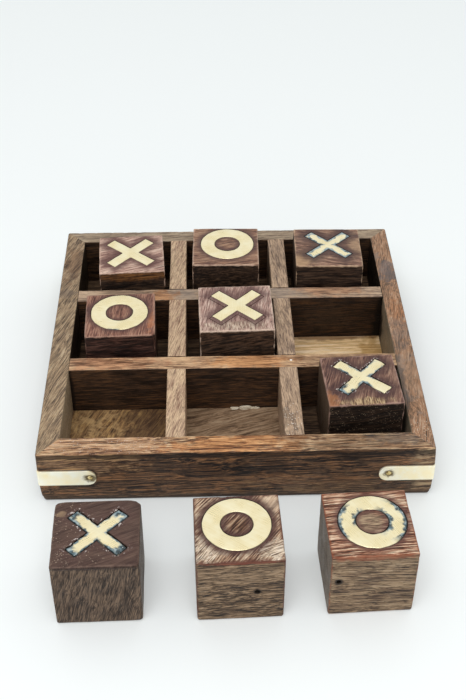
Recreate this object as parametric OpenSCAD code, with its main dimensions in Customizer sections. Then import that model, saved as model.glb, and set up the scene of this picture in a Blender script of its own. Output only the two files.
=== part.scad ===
// Wooden tic tac toe set: a square tray split into nine cells by half-lapped dividers,
// brass straps round its four corners, and nine cubes with a brass cross or ring let into the top.
// Millimetres. X runs left to right, Y runs front to back, Z is up.
// The origin is the centre of the tray's underside.

/* [Tray] */
// Outer side of the square tray
tray_side = 151; // [145:1:175]
// Height of the tray, base board included
tray_height = 25; // [21:0.5:32]
// Thickness of the base board under the rails
base_t = 3; // [2.5:0.5:5]
// Thickness of the left and right rails
side_rail_t = 8.5; // [7.5:0.5:10]
// Thickness of the front rail
front_rail_t = 9.5; // [7.5:0.5:11]
// Thickness of the back rail
back_rail_t = 8.5; // [7.5:0.5:10]
// Radius along the top edges of the rails
rail_edge_r = 0.6; // [0.4:0.2:2]
// Radius of the tray's upright corner edges
corner_r = 0.8; // [0.6:0.2:2]
// Radius along the bottom edge of the base board
base_edge_r = 2; // [0.5:0.25:2.25]

/* [Dividers] */
// Thickness of the two dividers that run front to back
long_divider_t = 7.5; // [5:0.5:9]
// Thickness of the two dividers that run left to right
cross_divider_t = 8; // [5:0.5:9]
// Width of the middle column of cells
middle_cell_w = 38; // [36:0.5:42]
// Depth of the middle row of cells
middle_cell_d = 39; // [36:0.5:42]
// How far the middle column sits to the right of the centre
middle_shift_x = -0.4; // [-1:0.1:1]
// How far the middle row sits behind the centre
middle_shift_y = 1.3; // [-1:0.1:2]
// How far the divider tops lie below the rim
divider_drop = 0; // [0:0.1:2]
// Radius along the top edges of the dividers
divider_edge_r = 0.6; // [0.4:0.1:1.5]
// Gap at each end of a cross divider
divider_end_gap = 0.4; // [0.1:0.1:1]
// Clearance on each side of a half-lap notch
lap_clearance = 0.1; // [0.05:0.05:0.3]

/* [Corner straps] */
// Usual length of a strap leg from the tray's corner
strap_leg = 22; // [16:1:30]
// Height of the strap
strap_h = 7.2; // [6:0.1:9]
// Thickness of the strap
strap_t = 0.9; // [0.7:0.1:1.5]
// How far the strap stands proud of the wood
strap_proud = 0.25; // [0.1:0.05:0.4]
// Usual height of the strap's middle above the table
strap_z = 12.7; // [11:0.1:14]
// Open gap between the strap's top edge and its recess
recess_gap = 0.5; // [0.2:0.1:0.8]
// Usual distance of the pin from the strap's rounded end
pin_inset = 3.2; // [3:0.1:5]
// Diameter of the pin's head
pin_head_d = 2; // [1.8:0.1:2.2]
// Diameter of the pin's shank
pin_shank_d = 1.2; // [0.8:0.1:1.4]
// Length of the pin's shank under its head
pin_length = 6; // [3:0.5:6]

/* [Cubes] */
// Usual side of a playing cube
cube_side = 30; // [26:0.5:31]
// Radius of the cube's edges
cube_edge_r = 0.8; // [0.4:0.2:2]
// Thickness of the brass let into a cube
inlay_t = 1.5; // [1:0.1:3]
// Length of each bar of the cross
cross_len = 25; // [20:0.5:26]
// Width of each bar of the cross
cross_bar_w = 5; // [3:0.25:7]
// Outer diameter of the ring
ring_od = 24; // [18:0.5:25]
// Inner diameter of the ring
ring_id = 11.5; // [8:0.5:14]
// Gap between the brass and its recess in the wood
inlay_gap = 0.1; // [0.05:0.05:0.2]

/* [Hidden] */
$fn = 64;
cut = 1;
half = tray_side / 2;
inner_left = -half + side_rail_t;
inner_right = half - side_rail_t;
inner_front = -half + front_rail_t;
inner_back = half - back_rail_t;
inner_w = inner_right - inner_left;
inner_d = inner_back - inner_front;
rail_h = tray_height - base_t;
divider_h = rail_h - divider_drop;
countersink_d = pin_head_d + 1.5;
countersink_depth = strap_t / 2;
shank_clearance = 0.05;
strapped_side = tray_side + 2 * strap_proud;
shank_hole_d = pin_shank_d + 2 * shank_clearance;
head_hole_d = pin_head_d + 2 * shank_clearance;

// Centre lines of the dividers, from the middle cell outwards
long_x = [
    middle_shift_x - (middle_cell_w + long_divider_t) / 2,
    middle_shift_x + (middle_cell_w + long_divider_t) / 2
];
cross_y = [
    middle_shift_y - (middle_cell_d + cross_divider_t) / 2,
    middle_shift_y + (middle_cell_d + cross_divider_t) / 2
];

// Walls of the three columns and of the three rows: [low, high]
columns = [
    [inner_left, long_x[0] - long_divider_t / 2],
    [long_x[0] + long_divider_t / 2, long_x[1] - long_divider_t / 2],
    [long_x[1] + long_divider_t / 2, inner_right]
];
rows = [
    [inner_front, cross_y[0] - cross_divider_t / 2],
    [cross_y[0] + cross_divider_t / 2, cross_y[1] - cross_divider_t / 2],
    [cross_y[1] + cross_divider_t / 2, inner_back]
];

// Cubes standing in cells: mark, number, column, row, how much larger its side is than usual,
// share of the free play taken up along X and along Y, turn in degrees, and how far its mark is
// off centre along X and along Y, as a share of the room round the mark
seated_cubes = [
    ["x", 1, 0, 2, -0.9, 0.61, -0.37, 3.3, -0.13, 0.32],
    ["o", 1, 1, 2, -0.1, -0.29, 0.64, -1.2, 0.33, 0.98],
    ["x", 2, 2, 2, 0, -0.34, 0.13, -1.3, 0.08, 0.5],
    ["o", 2, 0, 1, -0.7, 0.01, -0.03, 1.8, -0.22, 0.92],
    ["x", 3, 1, 1, 1.3, 0.71, 0.19, 1.2, 0.12, 0.45],
    ["x", 4, 2, 0, -0.5, 0.65, 0.58, 2.7, 0.15, 0.5]
];

// Spare cubes on the table: mark, number, how much larger its side is than usual,
// X, distance in front of the tray, turn in degrees, and the same two shares for its mark
spare_cubes = [
    ["x", 5, 0.1, -49.4, 42.9, 0.9, 0.11, 0],
    ["o", 3, 0.3, -0.8, 42.2, 1.9, -0.17, 0.77],
    ["o", 4, 0, 44.5, 40.8, 2.3, 0.5, 0.27]
];

// Half the width that a turned cube takes up, and its place in a cell
function turned_half(side, turn) = side / 2 * (cos(turn) + abs(sin(turn)));
function in_cell(walls, share, side, turn) =
    (walls[0] + walls[1]) / 2 + share * ((walls[1] - walls[0]) / 2 - turned_half(side, turn));

// Every cube: mark, number, side, X, Y, Z of its underside, turn, mark's shares along X and Y
cubes = concat(
    [for (c = seated_cubes)
        let (side = cube_side + c[4])
        [
            c[0], c[1], side,
            in_cell(columns[c[2]], c[5], side, c[7]), in_cell(rows[c[3]], c[6], side, c[7]), base_t,
            c[7], c[8], c[9]
        ]],
    [for (c = spare_cubes)
        [c[0], c[1], cube_side + c[2], c[3], -half - c[4], 0, c[5], c[6], c[7]]]
);

// Half the width of a mark, and the room between it and the cube's rounded edges
function mark_half(mark) = mark == "x" ? (cross_len + cross_bar_w) / 2 * cos(45) : ring_od / 2;
function mark_room(c) = max(0, c[2] / 2 - cube_edge_r - mark_half(c[0]));

// Corners: name, direction in X, direction in Y, name of the face on the Y side, and how much
// longer the hand-cut strap's legs are, further in its pins are and higher it lies than usual
corners = [
    ["front_left", -1, -1, "front", 0.2, -0.8, 0.3],
    ["front_right", 1, -1, "front", -0.8, 0.6, -0.2],
    ["back_left", -1, 1, "back", 0, 0, 0],
    ["back_right", 1, 1, "back", 0.3, 0, 0.1]
];

// ---- Shared shapes ----

// A rectangle centred on the origin with all four corners rounded
module rounded_rect(w, d, r) {
    square([w - 2 * r, d], center = true);
    square([w, d - 2 * r], center = true);
    for (x = [-1, 1], y = [-1, 1])
        translate([x * (w / 2 - r), y * (d / 2 - r)]) circle(r);
}

// A rectangle standing on the X axis with its two top corners rounded
module arched_rect(w, h, r) {
    translate([-w / 2, 0]) square([w, h - r]);
    translate([r - w / 2, 0]) square([w - 2 * r, h]);
    for (x = [-1, 1])
        translate([x * (w / 2 - r), h - r]) circle(r);
}

// A bar along X with its long top edges rounded, centred in X and Y and standing on z = 0
module round_top_bar(length, w, h, r) {
    rotate([90, 0, 90])
        linear_extrude(length, center = true)
            arched_rect(w, h, r);
}

// A block with every edge rounded, centred in X and Y and standing on z = 0
module rounded_block(w, d, h, r) {
    translate([0, 0, h / 2])
        intersection() {
            linear_extrude(h, center = true) rounded_rect(w, d, r);
            rotate([90, 0, 0]) linear_extrude(d, center = true) rounded_rect(w, h, r);
            rotate([90, 0, 90]) linear_extrude(w, center = true) rounded_rect(d, h, r);
        }
}

// Moves what is drawn at the front left corner to the corner in direction x, y
module at_corner(x, y) {
    mirror([x > 0 ? 1 : 0, 0, 0])
        mirror([0, y > 0 ? 1 : 0, 0])
            children();
}

// Draws its children on the tray's face at the Y side, or turned over to the X side
module on_face(side) {
    if (side) mirror([1, -1, 0]) children();
    else children();
}

// ---- Tray ----

module base_board() color("#3a2a22")
    intersection() {
        linear_extrude(base_t) rounded_rect(tray_side, tray_side, corner_r);
        translate([0, 0, base_t]) rotate([180, 0, 0])
            round_top_bar(tray_side, tray_side, base_t, base_edge_r);
        translate([0, 0, base_t]) rotate([180, 0, 90])
            round_top_bar(tray_side, tray_side, base_t, base_edge_r);
    }

// The tray's outer and inner corners, front left first, going round anticlockwise
outer_corners = [[-half, -half], [half, -half], [half, half], [-half, half]];
inner_corners = [
    [inner_left, inner_front],
    [inner_right, inner_front],
    [inner_right, inner_back],
    [inner_left, inner_back]
];

// Plan of the rail on face k (0 front, 1 right, 2 back, 3 left), mitred at both ends
module mitred_plan(k) {
    next = (k + 1) % 4;
    polygon([outer_corners[k], outer_corners[next], inner_corners[next], inner_corners[k]]);
}

module rail(k, t) {
    difference() {
        intersection() {
            translate([0, 0, base_t]) linear_extrude(rail_h) mitred_plan(k);
            translate([0, 0, base_t]) linear_extrude(rail_h) rounded_rect(tray_side, tray_side, corner_r);
            rotate([0, 0, 90 * k])
                translate([0, (t - tray_side) / 2, base_t])
                    round_top_bar(tray_side, t, rail_h, rail_edge_r);
        }
        for (c = corners)
            at_corner(c[1], c[2]) strap_seat(c);
    }
}

module front_rail() color("#5b3d28") rail(0, front_rail_t);
module right_rail() color("#6a4d36") rail(1, side_rail_t);
module back_rail() color("#6d543f") rail(2, back_rail_t);
module left_rail() color("#6d543f") rail(3, side_rail_t);

// Slot across a divider for the one that crosses it, open at the side that dz points to
module lap_notch(w, dz) {
    translate([-w / 2 - lap_clearance, -tray_side / 2, dz > 0 ? divider_h / 2 : -cut])
        cube([w + 2 * lap_clearance, tray_side, divider_h / 2 + cut]);
}

// Dividers that run front to back, notched from above
module long_divider(k) color("#7a5b45")
    translate([long_x[k], (inner_front + inner_back) / 2, base_t])
        difference() {
            rotate([0, 0, 90])
                round_top_bar(inner_d, long_divider_t, divider_h, divider_edge_r);
            for (y = cross_y)
                translate([0, y - (inner_front + inner_back) / 2, 0])
                    rotate([0, 0, 90]) lap_notch(cross_divider_t, 1);
        }

// Dividers that run left to right, notched from below
module cross_divider(k) color("#85603f")
    translate([(inner_left + inner_right) / 2, cross_y[k], base_t])
        difference() {
            round_top_bar(inner_w - 2 * divider_end_gap, cross_divider_t, divider_h, divider_edge_r);
            for (x = long_x)
                translate([x - (inner_left + inner_right) / 2, 0, 0])
                    lap_notch(long_divider_t, -1);
        }

// ---- Corner straps and their pins, drawn at the front left corner ----

// One leg of corner c's strap seen from the front, from the corner's edge; grow widens it
module leg_outline(c, grow) {
    straight = strap_leg + c[4] + strap_proud - strap_h / 2;
    translate([-grow, -strap_h / 2 - grow]) square([straight + grow, strap_h + 2 * grow]);
    translate([straight, 0]) circle(strap_h / 2 + grow);
}

// A leg's solid on the front face, from depth a to depth b below the strap's outer surface
module leg_slab(c, a, b, grow, lift) {
    translate([-half - strap_proud, -half - strap_proud + b, strap_z + c[6] + lift])
        rotate([90, 0, 0])
            linear_extrude(b - a) leg_outline(c, grow);
}

// Axis of a leg's pin, with z running into the wood from the strap's outer surface
module at_pin(c) {
    from_corner = strap_leg + c[4] - pin_inset - c[5];
    translate([-half + from_corner, -half - strap_proud, strap_z + c[6]])
        rotate([-90, 0, 0])
            children();
}

// What is cut from the rails at a corner: the strap's recess and the pin holes
module strap_seat(c) {
    for (side = [false, true])
        on_face(side) {
            leg_slab(c, -cut, strap_t, recess_gap / 2, recess_gap / 2);
            at_pin(c) cylinder(d = shank_hole_d, h = countersink_depth + pin_length + shank_clearance);
        }
}

module corner_strap(c) color("#eedfa8")
    at_corner(c[1], c[2])
        difference() {
            intersection() {
                union()
                    for (side = [false, true])
                        on_face(side) leg_slab(c, 0, strap_t, 0, 0);
                linear_extrude(tray_height)
                    rounded_rect(strapped_side, strapped_side, corner_r + strap_proud);
            }
            for (side = [false, true])
                on_face(side) at_pin(c) {
                    cylinder(d1 = countersink_d, d2 = head_hole_d, h = countersink_depth);
                    cylinder(d = shank_hole_d, h = strap_t + cut);
                }
        }

// A round-headed pin: its head sits in the countersink and its shank goes into the rail
module strap_pin(c, side) color("#c9b26a")
    at_corner(c[1], c[2])
        on_face(side) at_pin(c) {
            head_h = countersink_depth * 0.75;
            translate([0, 0, countersink_depth - head_h])
                cylinder(d1 = pin_head_d * 0.6, d2 = pin_head_d, h = head_h / 2);
            translate([0, 0, countersink_depth - head_h / 2])
                cylinder(d = pin_head_d, h = head_h / 2);
            translate([0, 0, countersink_depth])
                cylinder(d = pin_shank_d, h = pin_length);
        }

// ---- Cubes ----

// Outline of the brass mark on top of a cube; grow widens it all round
module mark_outline(mark, grow) {
    if (mark == "x")
        for (turn = [45, 135])
            rotate(turn) square([cross_len + 2 * grow, cross_bar_w + 2 * grow], center = true);
    else
        difference() {
            circle(d = ring_od + 2 * grow);
            circle(d = ring_id - 2 * grow);
        }
}

module at_cube(c) {
    translate([c[3], c[4], c[5]])
        rotate([0, 0, c[6]])
            children();
}

// The mark's place on its cube, from the recess floor up
module at_mark(c) {
    translate([c[7] * mark_room(c), c[8] * mark_room(c), c[2] - inlay_t])
        children();
}

module wooden_cube(c) color(c[0] == "x" ? "#4d3330" : "#6b4a3b")
    at_cube(c)
        difference() {
            rounded_block(c[2], c[2], c[2], cube_edge_r);
            at_mark(c) linear_extrude(inlay_t + cut) mark_outline(c[0], inlay_gap);
        }

module brass_inlay(c) color("#efe0a0")
    at_cube(c)
        at_mark(c) linear_extrude(inlay_t) mark_outline(c[0], 0);

// ---- What is drawn ----

base_board();
front_rail();
right_rail();
back_rail();
left_rail();
long_divider(0);  // left_long_divider
long_divider(1);  // right_long_divider
cross_divider(0);  // front_cross_divider
cross_divider(1);  // back_cross_divider
for (c = corners) {
    corner_strap(c);
    strap_pin(c, false);
    strap_pin(c, true);
}
for (c = cubes) {
    wooden_cube(c);
    brass_inlay(c);
}
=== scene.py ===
"""Looks of the wooden tic tac toe set: mesh pieces, wood and brass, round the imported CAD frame.

Lengths in this file are millimetres until a mesh is made; Blender's own values are metres.
"""
import math

import bpy
from mathutils import Euler, Matrix, Vector, noise


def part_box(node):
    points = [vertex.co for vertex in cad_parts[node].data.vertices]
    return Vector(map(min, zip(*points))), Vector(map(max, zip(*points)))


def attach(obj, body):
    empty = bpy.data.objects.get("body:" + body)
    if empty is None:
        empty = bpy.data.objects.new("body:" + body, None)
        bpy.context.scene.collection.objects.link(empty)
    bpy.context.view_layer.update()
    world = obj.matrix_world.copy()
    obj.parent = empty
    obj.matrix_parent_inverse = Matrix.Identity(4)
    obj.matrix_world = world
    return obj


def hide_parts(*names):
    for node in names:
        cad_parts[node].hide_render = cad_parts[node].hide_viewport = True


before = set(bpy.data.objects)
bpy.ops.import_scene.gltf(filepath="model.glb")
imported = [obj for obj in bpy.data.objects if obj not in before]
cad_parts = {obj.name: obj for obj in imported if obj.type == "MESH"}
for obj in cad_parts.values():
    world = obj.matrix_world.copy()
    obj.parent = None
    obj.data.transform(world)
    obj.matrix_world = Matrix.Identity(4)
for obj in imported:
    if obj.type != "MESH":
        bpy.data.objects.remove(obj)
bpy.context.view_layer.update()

MM = 0.001


# ---------------------------------------------------------------- sizes, read from the frame

def node_box(node):
    """Lowest and highest corner of a CAD node, in millimetres."""
    lo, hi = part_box(node)
    return lo / MM, hi / MM


def centre_of(node):
    lo, hi = node_box(node)
    return (lo + hi) / 2


BASE_LO, BASE_HI = node_box("base_board")
HALF = BASE_HI.x
BASE_TOP = BASE_HI.z
RIM = node_box("front_rail")[1].z
INNER_LO = Vector((node_box("left_rail")[1].x, node_box("front_rail")[1].y, BASE_TOP))
INNER_HI = Vector((node_box("right_rail")[0].x, node_box("back_rail")[0].y, RIM))
INLAY_LO, INLAY_HI = node_box("o_inlay_3")
INLAY_T = INLAY_HI.z - INLAY_LO.z
RING_OUTER = (INLAY_HI.x - INLAY_LO.x) / 2

# Measures that no CAD box shows
STRAP_T = 0.9
SHANK_R = 0.6
RING_INNER = 5.75
BAR_HALF_LENGTH = 12.5
BAR_HALF_WIDTH = 2.5
CORNER_R = 0.8
PIN_HEAD_T = 0.4
PIN_DOME_T = 0.26
CHIP_DEPTH = 0.12
HOLE_DEPTH = 1.5
DIMPLE_DEPTH = 0.45
DIMPLE_LONG = 1.45  # times as far towards the bend
DIMPLE_RIM = 0.75
DIMPLE_SLOPE = 0.6
SEAT_GAP = 0.3
SEAT_OPEN = 1.2
PIN_POINT = 1.4
PIN_HOLE_GAP = 0.05
RECESS_GAP = 0.14
RECESS_DEEPER = 0.05
INLAY_EDGE = 0.2
CUBE_EDGE_R = 0.6
CUBE_FOOT_R = 0.25
CUBE_EDGE_REACH = 4
CUBE_CROWN = 0.05
LIP_HEIGHT = 1.3
MITRE_REACH = 0.3
MITRE_DIP = 0.06
SAND_REACH = 5

# How far hand sanding took each outer wall in, at its top and at its bottom
SANDED = {"left": (0.05, 0.9), "right": (0.5, 0.3), "front": (0.35, 0.7), "back": (0.3, 0.5)}
WIDEST = 0.55 * RIM


# ---------------------------------------------------------------- meshes

def make_piece(name, verts, faces, smooth=38):
    """A new object from millimetre points, shaded smooth up to that angle."""
    mesh = bpy.data.meshes.new(name)
    mesh.from_pydata([tuple(Vector(v) * MM) for v in verts], [], faces)
    mesh.validate()
    mesh.update()
    obj = bpy.data.objects.new(name, mesh)
    bpy.context.scene.collection.objects.link(obj)
    soften(obj, smooth)
    return obj


def soften(obj, degrees):
    """Smooth shading, with edges sharper than that many degrees kept sharp."""
    obj.data.shade_smooth()
    obj.data.set_sharp_from_angle(angle=math.radians(degrees))


def carve(obj, cutters, smooth=38):
    """Cuts the cutters out of obj and deletes them."""
    for cutter in cutters:
        cut = obj.modifiers.new("cut", "BOOLEAN")
        cut.operation = "DIFFERENCE"
        cut.solver = "EXACT"
        cut.object = cutter
    graph = bpy.context.evaluated_depsgraph_get()
    mesh = bpy.data.meshes.new_from_object(obj.evaluated_get(graph))
    obj.modifiers.clear()
    old = obj.data
    obj.data = mesh
    bpy.data.meshes.remove(old)
    for cutter in cutters:
        bpy.data.objects.remove(cutter)
    soften(obj, smooth)


def spread(low, high, step, edge=(0.0, 0.25, 0.6, 1.1, 1.7, 2.5)):
    """Positions from low to high, close together near both ends and about one step apart between."""
    span = high - low
    near = [e for e in edge if e < span / 2 - 0.2]
    inside = span - 2 * near[-1]
    count = max(1, round(inside / step))
    middle = [near[-1] + inside * i / count for i in range(1, count)]
    return [low + e for e in near] + [low + m for m in middle] + [high - e for e in reversed(near)]


def shell_piece(name, xs, ys, zs, shape, smooth=38):
    """A piece that is the closed skin of a lattice, with every point moved by shape(point)."""
    size = (len(xs), len(ys), len(zs))
    index, verts, faces = {}, [], []

    def point(i, j, k):
        if (i, j, k) not in index:
            index[i, j, k] = len(verts)
            verts.append(shape(Vector((xs[i], ys[j], zs[k]))))
        return index[i, j, k]

    for axis in range(3):
        u, v = [a for a in range(3) if a != axis]
        for end in (0, size[axis] - 1):
            outward = (end > 0) == (axis != 1)
            for a in range(size[u] - 1):
                for b in range(size[v] - 1):
                    quad = []
                    for da, db in ((0, 0), (1, 0), (1, 1), (0, 1)):
                        key = [0, 0, 0]
                        key[axis], key[u], key[v] = end, a + da, b + db
                        quad.append(point(*key))
                    faces.append(quad if outward else quad[::-1])
    return make_piece(name, verts, faces, smooth)


def eased(off):
    """A step in a square corner, drawn in so that the square's edge becomes a round."""
    reach = max(abs(c) for c in off)
    return off * (reach / off.length) if reach > 1e-9 else off


def rounded(p, lo, hi, radius, axes=(0, 1, 2)):
    """p in the box lo to hi, with the box's edges across the named axes rounded to that radius."""
    core = p.copy()
    for a in axes:
        core[a] = min(max(p[a], lo[a] + radius), hi[a] - radius)
    return core + eased(p - core)


def clamp(x):
    """x, kept between 0 and 1."""
    return min(1.0, max(0.0, x))


def wobble(p, scale, amount, seed=0.0):
    """Smooth noise from -amount to amount that changes over about 1/scale millimetres."""
    return noise.noise(p * scale + Vector((seed, seed * 1.7, seed * 0.3))) * amount


def chips(p, seed):
    """Small nicks, a few millimetres long and far apart."""
    return min(CHIP_DEPTH, max(0.0, wobble(p, 0.33, 1.0, seed + 12) - 0.32) * 2.5)


# ---------------------------------------------------------------- tray

def sanded_off(axis, side, z):
    """How far the outer wall on that side lies inside its widest line at height z."""
    top, bottom = SANDED[("left", "right", "front", "back")[2 * axis + (side > 0)]]
    if z > WIDEST:
        return top * ((z - WIDEST) / (RIM - WIDEST)) ** 2
    return bottom * ((WIDEST - z) / WIDEST) ** 2


def sand(p, more=0.0):
    """Hand sanding of the tray: outer walls a little rounded, and blunt upright corner edges."""
    q = p.copy()
    core = p.copy()
    for axis in (0, 1):
        side = 1 if p[axis] > 0 else -1
        taken = sanded_off(axis, side, p.z) + more
        depth = HALF - abs(p[axis])
        q[axis] -= side * taken * max(0.0, 1 - depth / SAND_REACH)
        core[axis] = side * (HALF - taken - CORNER_R)
    off = q - core
    if off.x * core.x > 0 and off.y * core.y > 0:
        q = core + eased(off)
    return q


SIDES = {"front": 0, "right": 1, "back": 2, "left": 3}


def make_rail(side, seed):
    """A mitred rail with a worn top edge, drawn at the front and turned to its side."""
    lo, hi = node_box(side + "_rail")
    spin = Matrix.Rotation(-math.pi / 2 * SIDES[side], 3, "Z")
    back = spin.inverted()
    inner_y = max((spin @ lo).y, (spin @ hi).y)
    inner_left, inner_right = sorted(((spin @ INNER_LO).x, (spin @ INNER_HI).x))
    depth = inner_y + HALF
    box_lo = Vector((-HALF, -HALF, BASE_TOP))
    box_hi = Vector((HALF, inner_y, RIM))

    def shape(p):
        along = (p.x + HALF) / (2 * HALF)
        top = p.z > (BASE_TOP + RIM) / 2
        outer = p.y < inner_y - depth / 2
        worn_r = 0.5 if outer else 0.45
        radius = worn_r * (1 + wobble(p, 0.09, 0.4, seed)) if top else 0.2
        q = rounded(p, box_lo, box_hi, radius, axes=(1, 2))
        if min(p.x + HALF, HALF - p.x) < MITRE_REACH and top:
            q.z -= MITRE_DIP
        share = (inner_y - q.y) / depth
        left = inner_left + (-HALF - inner_left) * share
        right = inner_right + (HALF - inner_right) * share
        q.x = left + (right - left) * along
        near_edge = top and min(q.y + HALF, inner_y - q.y) + RIM - q.z < 1.2
        if top:
            q.z -= max(0.0, wobble(q, 0.06, 0.15, seed + 8))
        if near_edge:
            q.z -= chips(q, seed)
        return sand(back @ q)

    fine = (0.0, 0.2, 0.45, 0.8, 1.2, 1.7)
    xs = spread(-HALF, HALF, 1.1, (0.0, 0.3, 0.9))
    ys = spread(-HALF, inner_y, 1.3, fine)
    return shell_piece(side + "_rail_wood", xs, ys, spread(BASE_TOP, RIM, 1.3, fine), shape)


CORNERS = {
    "front_left": (-1, -1),
    "front_right": (1, -1),
    "back_left": (-1, 1),
    "back_right": (1, 1),
}


def pin_nodes(corner):
    """The two pins of a corner's strap: the one on the front or back, and the one on the side."""
    return [corner + "_strap_" + end + "_pin" for end in (corner.split("_")[0], "side")]


def strap_sizes(corner):
    """A strap's measures, read from its own box and its pin's."""
    lo, hi = node_box(corner + "_strap")
    pin_lo, pin_hi = node_box(pin_nodes(corner)[0])
    proud = max(abs(lo.x), abs(hi.x)) - HALF
    return {
        "leg": hi.x - lo.x,
        "half_h": (hi.z - lo.z) / 2,
        "z": (hi.z + lo.z) / 2,
        "proud": proud,
        "pin": HALF + proud - abs(pin_lo.x + pin_hi.x) / 2,
        "pin_r": (pin_hi.x - pin_lo.x) / 2,
    }


def strap_solid(name, sizes, grow, outside, lift, dimple):
    """An L-shaped strap round the front left corner, up to height outside over the wall."""
    half_h = sizes["half_h"] + grow
    inside = STRAP_T - sizes["proud"]
    bend_r = CORNER_R + outside
    arc = bend_r * math.pi / 2
    over = outside - sizes["proud"]
    reach = sizes["leg"] + grow + over - bend_r + arc / 2
    thick = inside + outside
    edge_r = min(0.2, thick / 3)
    pin_s = sizes["pin"] + over - bend_r + arc / 2

    def stretch(s, t):
        """Turns the square end of the strip into a half round one."""
        straight = reach - half_h
        past = (abs(s) - straight) / half_h
        if past <= 0:
            return s, t
        b = t / half_h
        round_s = straight + half_h * past * math.sqrt(max(0.0, 1 - b * b / 2))
        return math.copysign(round_s, s), t * math.sqrt(max(0.0, 1 - past * past / 2))

    def shape(p):
        q = rounded(p, Vector((-reach, -half_h, 0)), Vector((reach, half_h, thick)), edge_r)
        s, t = stretch(q.x, q.y)
        h = q.z
        if dimple and h > thick - 0.02:
            for sign in (-1, 1):
                along = (pin_s - s * sign) / DIMPLE_LONG
                r = math.hypot(max(along, 0) + min(along * DIMPLE_LONG, 0), t)
                h -= DIMPLE_DEPTH * clamp((sizes["pin_r"] + DIMPLE_RIM - r) / DIMPLE_SLOPE)
            h -= max(0.0, wobble(Vector((s, t, 0)), 0.2, 0.06, sizes["z"]))
        out = h - thick + outside
        over_bend = abs(s) - arc / 2
        wall = HALF + out
        centre = HALF + outside - bend_r
        if over_bend > 0:
            near, far = -wall, -centre + over_bend
        else:
            turn = abs(s) / bend_r
            r = bend_r - outside + out
            near = -centre - r * math.cos(math.pi / 4 - turn)
            far = -centre - r * math.sin(math.pi / 4 - turn)
        z = sizes["z"] + lift + t
        return Vector((far, near, z)) if s > 0 else Vector((near, far, z))

    ends = spread(-reach, reach, 0.9, (0.0, 0.1, 0.2, 0.4, 0.7))
    fine = [sign * (pin_s + d * 0.25) for sign in (-1, 1) for d in range(-12, 10)] if dimple else []
    bend = [arc * (i / 8 - 0.5) for i in range(9)]
    xs = sorted(ends + fine + bend)
    xs = [x for i, x in enumerate(xs) if i == 0 or x - xs[i - 1] > 0.04]
    ys = spread(-half_h, half_h, 0.3, (0.0, 0.1, 0.2, 0.4))
    zs = [0, 0.1, 0.2, thick - 0.2, thick - 0.1, thick]
    return shell_piece(name, xs, ys, zs, shape, smooth=30)


def at_corner(obj, x, y):
    """Mirrors what was drawn at the front left corner to the corner in direction x, y."""
    for vertex in obj.data.vertices:
        vertex.co.x *= -x
        vertex.co.y *= -y
    if x * y < 0:
        obj.data.flip_normals()
    obj.data.update()
    return obj


def lathe(name, profile, steps=28):
    """Turns (radius, height) points about Z; the first and last points lie on the axis."""
    verts = [(0, 0, profile[0][1])]
    for r, z in profile[1:-1]:
        for i in range(steps):
            a = 2 * math.pi * i / steps
            verts.append((r * math.cos(a), r * math.sin(a), z))
    verts.append((0, 0, profile[-1][1]))
    last = len(verts) - 1
    faces = []
    rings = len(profile) - 2
    for i in range(steps):
        j = (i + 1) % steps
        faces.append((0, 1 + j, 1 + i))
        for ring in range(rings - 1):
            a, b = 1 + ring * steps, 1 + (ring + 1) * steps
            faces.append((a + i, a + j, b + j, b + i))
        top = 1 + (rings - 1) * steps
        faces.append((top + i, top + j, last))
    return make_piece(name, verts, faces, smooth=50)


def aim(obj, head, way):
    """Puts what was drawn along Z with its top at the origin at head, its top towards way."""
    turn = Vector((0, 0, 1)).rotation_difference(way).to_matrix().to_4x4()
    obj.data.transform(Matrix.Translation(head * MM) @ turn)
    return obj


def pin_axis(node):
    """A pin's middle, the axis that it lies along, and 1 or -1 for the way its head faces."""
    lo, hi = node_box(node)
    middle = (lo + hi) / 2
    axis = max(range(3), key=lambda a: (hi - lo)[a])
    return middle, axis, 1 if middle[axis] > 0 else -1


def on_pin(obj, node):
    """Puts what was drawn as a pin on that CAD pin's axis."""
    lo, hi = node_box(node)
    head, axis, side = pin_axis(node)
    head[axis] = hi[axis] if side > 0 else lo[axis]
    way = Vector((0, 0, 0))
    way[axis] = side
    return aim(obj, head, way)


def make_pin(name, node):
    """A round-headed pin, its head in the strap's dimple and its shank in the rail."""
    lo, hi = node_box(node)
    length = max(hi - lo)
    head_r = min(hi - lo) / 2
    profile = [(0, -length), (SHANK_R * 0.4, -length + 0.5), (SHANK_R, -length + PIN_POINT)]
    profile += [(SHANK_R, -PIN_HEAD_T - 0.02), (head_r, -PIN_HEAD_T), (head_r, -PIN_DOME_T)]
    dome = 5
    for i in range(1, dome + 1):
        a = math.pi / 2 * i / dome
        profile.append((head_r * math.cos(a) if i < dome else 0, PIN_DOME_T * (math.sin(a) - 1)))
    return on_pin(lathe(name, profile), node)


def pin_hole(node):
    """The hole for a pin's shank, to cut with."""
    lo, hi = node_box(node)
    depth = max(hi - lo)
    r = SHANK_R + PIN_HOLE_GAP
    return on_pin(lathe("hole", [(0, -depth - 0.1), (r, -depth), (r, 1), (0, 1)], 20), node)


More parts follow.
